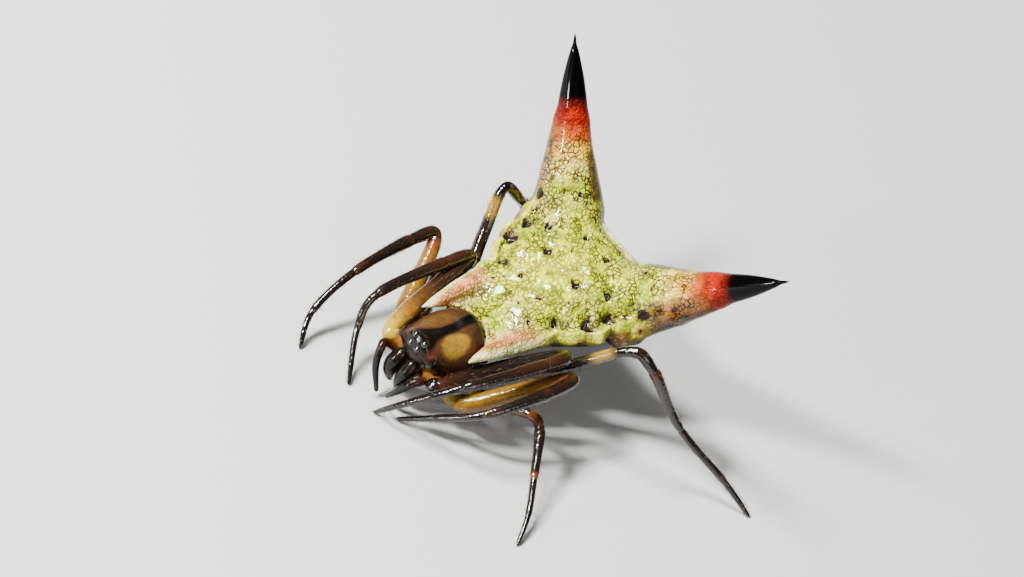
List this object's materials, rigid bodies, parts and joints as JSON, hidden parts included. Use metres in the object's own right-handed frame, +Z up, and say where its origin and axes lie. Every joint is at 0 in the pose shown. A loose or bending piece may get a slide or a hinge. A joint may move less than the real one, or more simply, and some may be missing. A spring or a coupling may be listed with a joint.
{
  "type": "spiny orb-weaver spider",
  "caption": "Life-size still spiny orb-weaver spider, wedge abdomen with two long rear spines, head low, legs folded, standing on flat feet.",
  "frame": {"origin": "on the floor under the middle of the whole animal's box", "axes": "+Z up, -Y the way the head faces, +X the spider's left"},
  "size_m": [0.0124, 0.0108, 0.0074],
  "materials": {
    "carapace": "glossy brown translucent cuticle with tan patches",
    "abdomen": "glossy lime and cream cuticle with a fine dark network and brown sides",
    "posterior_spine": "glossy yellow to orange red with a black tip",
    "anterior_spine": "glossy pinkish orange with a cream tip",
    "spinneret": "dark brown soft cuticle",
    "chelicera": "glossy black cuticle",
    "leg": "glossy honey to black cuticle with fine hairs",
    "eye": "polished black"
  },
  "bodies": {
    "root": {"cephalothorax": "carapace", "abdomen": "abdomen", "posterior_spine_left": "posterior_spine", "posterior_spine_right": "posterior_spine", "anterior_spine_left": "anterior_spine", "anterior_spine_right": "anterior_spine", "spinnerets": "spinneret", "chelicera_left": "chelicera", "chelicera_right": "chelicera", "palp_left": "leg", "palp_right": "leg", "eye_anterior_median_left": "eye", "eye_anterior_median_right": "eye", "eye_posterior_median_left": "eye", "eye_posterior_median_right": "eye", "eyes_lateral_left": "eye", "eyes_lateral_right": "eye", "leg_1_left": "leg", "leg_1_right": "leg", "leg_2_left": "leg", "leg_2_right": "leg", "leg_3_left": "leg", "leg_3_right": "leg", "leg_4_left": "leg", "leg_4_right": "leg"}
  },
  "joints": []
}
